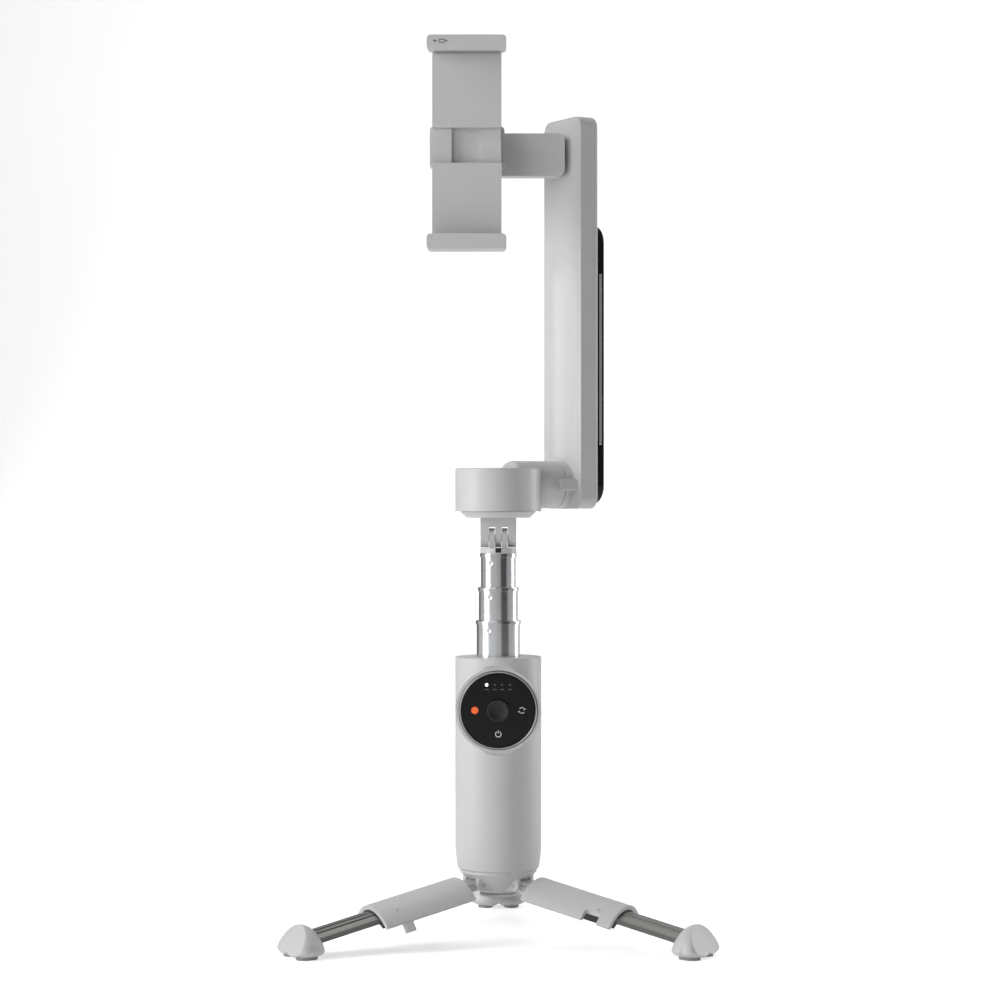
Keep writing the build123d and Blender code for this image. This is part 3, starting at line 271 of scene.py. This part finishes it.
def dressed(node, material, edge=0.00018, smooth=32):
    """A finished skin for a machined or moulded piece: its own facets merged, its sharp edges eased
    by a small round and its curved faces shaded smooth."""
    source = frame["nodes"][node]
    piece = source.copy()
    piece.data = source.data.copy()
    for key in list(piece.keys()):
        del piece[key]
    bpy.context.scene.collection.objects.link(piece)
    piece.parent = None
    piece.matrix_world = Matrix.Identity(4)
    only(piece)
    bpy.ops.object.mode_set(mode="EDIT")
    bpy.ops.mesh.select_all(action="SELECT")
    bpy.ops.mesh.remove_doubles(threshold=0.000004)
    bpy.ops.mesh.customdata_custom_splitnormals_clear()
    bpy.ops.object.mode_set(mode="OBJECT")
    bpy.ops.object.shade_smooth_by_angle(angle=radians(smooth))
    if edge:
        ease = piece.modifiers.new("edge", "BEVEL")
        ease.width = edge
        ease.segments = 2
        ease.limit_method = "ANGLE"
        ease.angle_limit = radians(38)
        ease.use_clamp_overlap = True
    even = piece.modifiers.new("flat_faces", "WEIGHTED_NORMAL")
    even.keep_sharp = True
    even.weight = 90
    apply_all(piece)
    settle(piece, node + "_finish", material, body_of_node[node])
    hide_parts(node)
    return piece


CASINGS = ("handle_shell", "tripod_hub", "tilt_knuckle", "pan_base", "pan_housing", "arm_frame",
           "roll_housing", "roll_rotor", "tilt_motor", "tilt_cradle", "clamp_body", "clamp_jaw_upper",
           "clamp_jaw_lower", "trigger", "rod_fork",
           "leg_shell_1", "leg_shell_2", "leg_shell_3")
for casing in CASINGS:
    dressed(casing, casing_plastic)
dressed("latch_tab", casing_plastic, edge=0.0008)

# ---------------------------------------------------------------- feet
# Moulded domes on the ends of the rails, of the casing's plastic. Each has a flat, leaning outer face
# and two lobes below, with a shallow notch between them.
foot_width, foot_length, foot_height = 24.2 * MM, 15.2 * MM, 13.2 * MM
foot_reach = 91.7 * MM
foot_belly = 3.6 * MM
notch_half_width = 3.4 * MM
notch_depth = 1.3 * MM
sole_lift = 0.3 * MM
face_lean = 0.55
face_reach = 5.4 * MM
for leg in (1, 2, 3):
    low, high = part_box(f"foot_{leg}")
    centre = (low + high) / 2
    azimuth = atan2(centre.y, centre.x)
    bpy.ops.object.select_all(action="DESELECT")
    bpy.ops.mesh.primitive_uv_sphere_add(segments=72, ring_count=48, radius=1)
    foot = bpy.context.object
    for vertex in foot.data.vertices:
        x, y, z = vertex.co
        fullness = 1.0 + 0.13 * (1 - abs(z)) * abs(2 * x * y)
        out, side = x * fullness * foot_length / 2, y * fullness * foot_width / 2
        if z > 0:
            up = foot_belly + z ** 1.12 * (foot_height - foot_belly)
        else:
            up = foot_belly - (-z) ** 0.7 * (foot_belly - sole_lift)
            up += notch_depth * max(0.0, 1 - abs(side) / notch_half_width) ** 1.3 * min(1.0, -1.6 * z)
        reach = face_reach - face_lean * (up - foot_belly)
        if up > foot_belly * 0.4 and out > reach:
            out = reach + (out - reach) * 0.08
        vertex.co = (out, side, up)
    foot.rotation_euler = (0, 0, azimuth)
    foot.location = (foot_reach * cos(azimuth), foot_reach * sin(azimuth), 0)
    bpy.ops.object.mode_set(mode="EDIT")
    bpy.ops.mesh.select_all(action="SELECT")
    bpy.ops.mesh.normals_make_consistent(inside=False)
    bpy.ops.object.mode_set(mode="OBJECT")
    bpy.ops.object.shade_smooth_by_angle(angle=radians(24))
    settle(foot, f"foot_{leg}_dome", casing_plastic, f"leg_end_{leg}")
    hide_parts(f"foot_{leg}")

# ---------------------------------------------------------------- telescopic rod
# Three drawn aluminium tubes, polished, each with a rolled collar and one round detent rivet pressed
# in below it.
polished_tube = grained("polished_tube", (0.80, 0.81, 0.83), 0.2, metallic=1.0, spread=0.015,
                        scale=900, depth=0.000012, stretch=(1, 1, 0.04))
shader_of(polished_tube).inputs["Anisotropic"].default_value = 0.35
for tube in ("rod_lower", "rod_middle", "rod_upper"):
    dressed(tube, polished_tube, edge=0.0002)

rivet_metal = grained("rivet_metal", (0.52, 0.53, 0.55), 0.36, metallic=1.0)
rivet_turn = radians(-115)
for tube in ("rod_lower", "rod_middle", "rod_upper"):
    low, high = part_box(tube)
    tube_radius = (high.x - low.x) / 2 - 0.45 * MM
    rivet_z = high.z - 4.1 * MM
    facing = Vector((cos(rivet_turn), sin(rivet_turn), 0))
    bpy.ops.object.select_all(action="DESELECT")
    bpy.ops.mesh.primitive_cylinder_add(
        vertices=40, radius=1.05 * MM, depth=0.3 * MM,
        location=facing * (tube_radius - 0.04 * MM) + Vector((0, 0, rivet_z)),
        rotation=facing.to_track_quat("Z", "Y").to_euler())
    rivet = bpy.context.object
    bpy.ops.object.mode_set(mode="EDIT")
    bpy.ops.mesh.select_mode(type="FACE")
    bpy.ops.mesh.select_all(action="DESELECT")
    bpy.ops.object.mode_set(mode="OBJECT")
    for face in rivet.data.polygons:
        face.select = face.normal.z > 0.9
    bpy.ops.object.mode_set(mode="EDIT")
    bpy.ops.mesh.inset(thickness=0.25 * MM)
    bpy.ops.transform.translate(value=facing * -0.1 * MM)
    bpy.ops.object.mode_set(mode="OBJECT")
    bpy.ops.object.shade_smooth_by_angle(angle=radians(30))
    settle(rivet, tube + "_rivet", rivet_metal, body_of_node[tube])

# ---------------------------------------------------------------- leg rivets
# Two small steel rivets near the outer end of each leg shell. They are pressed in from outside and
# fix the rail's guide.
leg_slope = radians(12)
leg_radius = 16 * MM
shell_axis_drop = 11 * MM
rivet_reach = 42 * MM
rivet_spread = radians(36)
for leg in (1, 2, 3):
    fold = joint_of[f"leg_fold_{leg}"]
    hinge = Vector(fold["pos_m"])
    across_leg = Vector(fold["axis"])
    out_leg = Vector((hinge.x, hinge.y, 0)).normalized()
    along_leg = out_leg * cos(leg_slope) - Vector((0, 0, sin(leg_slope)))
    up_leg = out_leg * sin(leg_slope) + Vector((0, 0, cos(leg_slope)))
    for side in (-1, 1):
        facing = across_leg * side * sin(rivet_spread) + up_leg * cos(rivet_spread)
        shell_axis = hinge + along_leg * rivet_reach - up_leg * shell_axis_drop
        place = shell_axis + facing * (leg_radius - 0.05 * MM)
        bpy.ops.object.select_all(action="DESELECT")
        bpy.ops.mesh.primitive_cylinder_add(vertices=32, radius=0.75 * MM, depth=0.3 * MM, location=place,
                                            rotation=facing.to_track_quat("Z", "Y").to_euler())
        rivet = bpy.context.object
        for face in rivet.data.polygons:
            face.select = face.normal.z > 0.9
        bpy.ops.object.mode_set(mode="EDIT")
        bpy.ops.mesh.select_mode(type="FACE")
        bpy.ops.mesh.inset(thickness=0.2 * MM)
        bpy.ops.transform.translate(value=facing * -0.1 * MM)
        bpy.ops.object.mode_set(mode="OBJECT")
        bpy.ops.object.shade_smooth_by_angle(angle=radians(30))
        side_name = "left" if side < 0 else "right"
        settle(rivet, f"leg_{leg}_rivet_{side_name}", rivet_metal, f"leg_{leg}")

# ---------------------------------------------------------------- tripod rails
# Ribbed aluminium extrusions that slide out from under the leg shells. They are cut to length and
# left with a dull grey anodised skin.
brushed_rail = grained("brushed_rail", (0.24, 0.24, 0.23), 0.38, metallic=1.0, spread=0.05,
                       scale=1500, depth=0.00002)
for leg in (1, 2, 3):
    dressed(f"leg_rail_{leg}", brushed_rail, edge=0.0001)

# ---------------------------------------------------------------- dark inner mouldings and small steel
# Guides, the panel's carrier and the rocker are moulded in black nylon. Pins and shafts are turned
# steel, and the port is pressed steel.
black_nylon = grained("black_nylon", (0.03, 0.03, 0.032), 0.5)
for moulding in ("leg_guide_1", "leg_guide_2", "leg_guide_3", "panel_base", "pad_rocker", "rod_guide"):
    dressed(moulding, black_nylon, edge=0)
turned_steel = grained("turned_steel", (0.46, 0.46, 0.47), 0.3, metallic=1.0)
for pin in ("leg_pins", "usb_port", "trigger_pin", "joystick_yoke", "pivot_pin", "pan_shaft", "fold_pin",
            "tilt_shaft", "cradle_screws", "clamp_magnet", "pan_rotor"):
    dressed(pin, turned_steel, edge=0)

# ---------------------------------------------------------------- hidden electrics
# Enamelled copper windings on the motors' cores, a green lacquered board behind the panel and a
# shrink-wrapped battery drum in the grip's foot.
copper_wire = grained("copper_wire", (0.62, 0.27, 0.13), 0.35, metallic=1.0, stretch=(1, 1, 14))
for winding in ("pan_stator", "roll_stator"):
    dressed(winding, copper_wire, edge=0)
board_lacquer = grained("board_lacquer", (0.02, 0.12, 0.05), 0.35)
dressed("control_board", board_lacquer, edge=0)
shrink_wrap = grained("shrink_wrap", (0.04, 0.10, 0.28), 0.3)
dressed("battery_pack", shrink_wrap, edge=0.0004)

# ---------------------------------------------------------------- rubber pads
# Soft silicone soles under the feet and liners in the clamp's jaws, moulded and pressed into place.
pale_silicone = grained("pale_silicone", (0.33, 0.33, 0.32), 0.72, scale=1800, depth=0.00005)
for pad in ("foot_pad_1", "foot_pad_2", "foot_pad_3", "jaw_pad_upper", "jaw_pad_lower"):
    dressed(pad, pale_silicone, edge=0.0002)

# ---------------------------------------------------------------- painted shade in the fork's foot and jaw marks
# A near-black block of painted shade fills the opening at the foot of the fork's slot, between its fingers.
# The upper jaw's front carries a small printed arrow and frame sign that show which way round a phone goes in.
# Near-black painted shade: a dark solid block stands in for the shadowed opening in the fork's foot.
opening_shade_black = grained("opening_shade_black", (0.012, 0.012, 0.013), 0.7, scale=1800, depth=0.00003)
fork_low, fork_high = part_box("rod_fork")
pivot = Vector(joint_of["head_tilt"]["pos_m"])
shade_block_low = Vector((-1.25 * MM, fork_low.y - 0.05 * MM, pivot.z - 6.1 * MM))
shade_block_high = Vector((1.25 * MM, fork_low.y + 2.6 * MM, pivot.z - 4.05 * MM))
bpy.ops.object.select_all(action="DESELECT")
# This box is the block of painted shade in the fork's opening.
bpy.ops.mesh.primitive_cube_add(size=1, location=(shade_block_low + shade_block_high) / 2)
key = bpy.context.object
key.scale = shade_block_high - shade_block_low
only(key)
bpy.ops.object.transform_apply(location=False, rotation=False, scale=True)
soft_edge = key.modifiers.new("edge", "BEVEL")
soft_edge.width = 0.25 * MM
soft_edge.segments = 3
apply_all(key)
bpy.ops.object.shade_smooth_by_angle(angle=radians(35))
settle(key, "fork_opening_shade_block", opening_shade_black, body_of_node["rod_fork"])

jaw_low, jaw_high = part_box("clamp_jaw_upper")
mark_front = jaw_low.y - 0.02 * MM
mark_height = jaw_high.z - 2.6 * MM
# Each stroke: how far right and up it stands, its width, its height and its turn.
mark_ink = grained("mark_ink", (0.07, 0.07, 0.07), 0.5, scale=1500, depth=0.000004)
ARROW_STROKES = ((3.6, 0, 1.5, 0.3, 0), (3.1, 0.25, 0.75, 0.3, 40), (3.1, -0.25, 0.75, 0.3, -40))
FRAME_STROKES = ((6.3, 0.6, 2.2, 0.3, 0), (6.3, -0.6, 2.2, 0.3, 0), (5.3, 0, 0.3, 1.3, 0),
                 (7.3, 0, 0.3, 1.3, 0), (8.1, 0, 0.7, 0.6, 0))
for number, (right, up, width, height, turn) in enumerate(ARROW_STROKES + FRAME_STROKES):
    bpy.ops.object.select_all(action="DESELECT")
    place = (jaw_low.x + right * MM, mark_front, mark_height + up * MM)
    bpy.ops.mesh.primitive_cube_add(size=1, location=place, rotation=(0, -radians(turn), 0))
    stroke = bpy.context.object
    stroke.scale = (width * MM, 0.06 * MM, height * MM)
    settle(stroke, f"jaw_mark_{number + 1}", mark_ink, body_of_node["clamp_jaw_upper"])

# ---------------------------------------------------------------- round control panel
# A gloss black click pad in a thin anodised zoom wheel. The marks are printed: a record dot, two
# turning arrows, a power sign and a row of four mode lamps, the first one lit.
gloss_black = grained("gloss_black", (0.004, 0.004, 0.0045), 0.16, spread=0.05, depth=0.000005)
shader_of(gloss_black).inputs["Specular IOR Level"].default_value = 0.3
dressed("control_pad", gloss_black, edge=0.0001)
ring_metal = grained("ring_metal", (0.55, 0.54, 0.53), 0.3, metallic=1.0)
dressed("zoom_wheel", ring_metal, edge=0.00008)

pad_low, pad_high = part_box("control_pad")
panel_centre = Vector(((pad_low.x + pad_high.x) / 2, pad_low.y, (pad_low.z + pad_high.z) / 2))
print_lift = 0.03 * MM


def ink(name, colour, glow=0.0):
    """Printed ink, or a lamp's lens when it glows. A glow on printed ink is painted light."""
    material = grained(name, colour, 0.4, scale=1500, depth=0.000004)
    if glow:
        shader = shader_of(material)
        shader.inputs["Emission Color"].default_value = (*colour, 1)
        shader.inputs["Emission Strength"].default_value = glow
    return material


def printed(name, piece, material):
    """A thin printed mark on the pad from a flat mesh that lies in X and Z."""
    only(piece)
    skin = piece.modifiers.new("ink", "SOLIDIFY")
    skin.thickness = 0.02 * MM
    skin.offset = 0
    apply_all(piece)
    settle(piece, name, material, "control_pad")


def dot(name, right, up, radius, material):
    """A printed disc on the pad."""
    bpy.ops.object.select_all(action="DESELECT")
    place = panel_centre + Vector((right, -print_lift, up))
    bpy.ops.mesh.primitive_circle_add(vertices=40, radius=radius, fill_type="NGON", location=place,
                                      rotation=(pi / 2, 0, 0))
    printed(name, bpy.context.object, material)


def arc_mark(name, right, up, radius, width, start, sweep, material, spin_steps=28):
    """A printed stretch of ring: a short edge spun round the mark's centre."""
    bpy.ops.object.select_all(action="DESELECT")
    place = panel_centre + Vector((right, -print_lift, up))
    bpy.ops.mesh.primitive_plane_add(size=1, location=place)
    piece = bpy.context.object
    bpy.ops.object.mode_set(mode="EDIT")
    bpy.ops.mesh.select_mode(type="VERT")
    bpy.ops.mesh.select_all(action="DESELECT")
    bpy.ops.object.mode_set(mode="OBJECT")
    for vertex in piece.data.vertices:
        vertex.select = vertex.co.x > 0
    bpy.ops.object.mode_set(mode="EDIT")
    bpy.ops.mesh.delete(type="VERT")
    bpy.ops.object.mode_set(mode="OBJECT")
    for vertex, reach in zip(piece.data.vertices, (radius - width / 2, radius + width / 2)):
        vertex.co = (reach * cos(start), 0, reach * sin(start))
    bpy.ops.object.mode_set(mode="EDIT")
    bpy.ops.mesh.select_all(action="SELECT")
    bpy.ops.mesh.spin(steps=spin_steps, angle=-sweep, center=place, axis=(0, -1, 0))
    bpy.ops.mesh.select_mode(type="FACE")
    bpy.ops.object.mode_set(mode="OBJECT")
    printed(name, piece, material)


def bar_mark(name, right, up, width, height, material, turn=0.0):
    """A printed bar on the pad."""
    bpy.ops.object.select_all(action="DESELECT")
    place = panel_centre + Vector((right, -print_lift, up))
    bpy.ops.mesh.primitive_plane_add(size=1, location=place, rotation=(pi / 2, 0, 0))
    piece = bpy.context.object
    piece.scale = (width, height, 1)
    piece.rotation_euler = (pi / 2, -turn, 0)
    printed(name, piece, material)


# The orange record dot's ink glows faintly: painted light that brightens the printed mark.
orange_ink_painted_glow = ink("orange_ink_painted_glow", (0.86, 0.13, 0.03), glow=0.25)
white_ink = ink("white_ink", (0.75, 0.75, 0.75))
dim_lens = ink("dim_lens", (0.10, 0.10, 0.10))
lit_lens = ink("lit_lens", (0.95, 0.95, 0.92), glow=2.5)
mark_reach = 9.7 * MM
dot("record_mark", -mark_reach, 0, 1.5 * MM, orange_ink_painted_glow)
for half in (0, 1):
    arc_mark(f"switch_mark_arc_{half}", mark_reach, 0, 1.15 * MM, 0.34 * MM, radians(20) + half * pi,
             radians(125), white_ink)
    tip = radians(20) + half * pi
    bar_mark(f"switch_mark_tip_{half}", mark_reach + 1.25 * MM * cos(tip), 1.25 * MM * sin(tip), 0.9 * MM,
             0.32 * MM, white_ink, turn=radians(40))
arc_mark("power_mark_ring", 0, -mark_reach - 0.1 * MM, 1.15 * MM, 0.32 * MM, radians(125), radians(290),
         white_ink)
bar_mark("power_mark_stem", 0, -mark_reach + 0.9 * MM, 0.32 * MM, 1.3 * MM, white_ink)
lamp_height = 10.5 * MM
for number, lamp_right in enumerate((-4.8, -1.5, 1.5, 4.8)):
    dot(f"mode_lamp_{number + 1}", lamp_right * MM, lamp_height, (0.62 if number == 0 else 0.4) * MM,
        lit_lens if number == 0 else dim_lens)
    bar_mark(f"mode_label_{number + 1}", lamp_right * MM, lamp_height - 1.9 * MM, 1.7 * MM, 0.42 * MM,
             dim_lens)

# ---------------------------------------------------------------- joystick
# A matte black thumb cap with a raised rim and a dished top, on a short steel stem. A thin steel
# pin crosses the stem's foot and swings in the yoke.
matte_black = grained("matte_black", (0.008, 0.008, 0.009), 0.5, scale=2200, depth=0.00004)
joy_low, joy_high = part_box("joystick")
cap_radius = (joy_high.x - joy_low.x) / 2
cap_front = joy_low.y
cap_thick = 2.0 * MM
bpy.ops.object.select_all(action="DESELECT")
bpy.ops.mesh.primitive_cylinder_add(
    vertices=96, radius=cap_radius, depth=cap_thick, rotation=(pi / 2, 0, 0),
    location=(panel_centre.x, cap_front + cap_thick / 2, panel_centre.z))
cap = bpy.context.object
for face in cap.data.polygons:
    face.select = face.normal.z > 0.9
bpy.ops.object.mode_set(mode="EDIT")
bpy.ops.mesh.select_mode(type="FACE")
for ring_in, sink in ((0.5, 0), (0.45, 0.05), (0.5, 0.28), (0.9, 0.28), (1.1, 0.12)):
    bpy.ops.mesh.inset(thickness=ring_in * MM)
    bpy.ops.transform.translate(value=(0, sink * MM, 0))
bpy.ops.mesh.select_all(action="SELECT")
bpy.ops.object.mode_set(mode="OBJECT")
rounder = cap.modifiers.new("rim", "BEVEL")
rounder.width = 0.35 * MM
rounder.segments = 4
rounder.limit_method = "ANGLE"
rounder.angle_limit = radians(50)
apply_all(cap)
bpy.ops.object.shade_smooth_by_angle(angle=radians(40))
settle(cap, "joystick_cap", matte_black, "joystick")
bpy.ops.object.select_all(action="DESELECT")
joystick_pin_length = 7.9 * MM
stem_back = joy_high.y
stem_front = cap_front + cap_thick
bpy.ops.mesh.primitive_cylinder_add(
    vertices=40, radius=1.5 * MM, depth=stem_back - stem_front, rotation=(pi / 2, 0, 0),
    location=(panel_centre.x, (stem_back + stem_front) / 2, panel_centre.z))
stem = bpy.context.object
neck = stem.modifiers.new("ends", "BEVEL")
neck.width = 0.2 * MM
neck.segments = 2
neck.limit_method = "ANGLE"
apply_all(stem)
bpy.ops.object.shade_smooth_by_angle(angle=radians(35))
settle(stem, "joystick_stem", turned_steel, "joystick")
bpy.ops.object.select_all(action="DESELECT")
bpy.ops.mesh.primitive_cylinder_add(
    vertices=32, radius=0.3 * MM, depth=joystick_pin_length,
    location=(panel_centre.x, joint_of["joystick_z"]["pos_m"][1], panel_centre.z))
cross_pin = bpy.context.object
bpy.ops.object.shade_smooth_by_angle(angle=radians(35))
settle(cross_pin, "joystick_cross_pin", turned_steel, "joystick")
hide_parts("joystick")

# ---------------------------------------------------------------- arm's gloss cover and trim
# A glossy black moulded strip on the arm's outer face, with one bright plated line let into its
# front edge.
dressed("arm_cover", gloss_black, edge=0.00025)
bright_chrome = grained("bright_chrome", (0.82, 0.82, 0.83), 0.1, metallic=1.0, depth=0.000005)
dressed("arm_trim", bright_chrome, edge=0.0001)
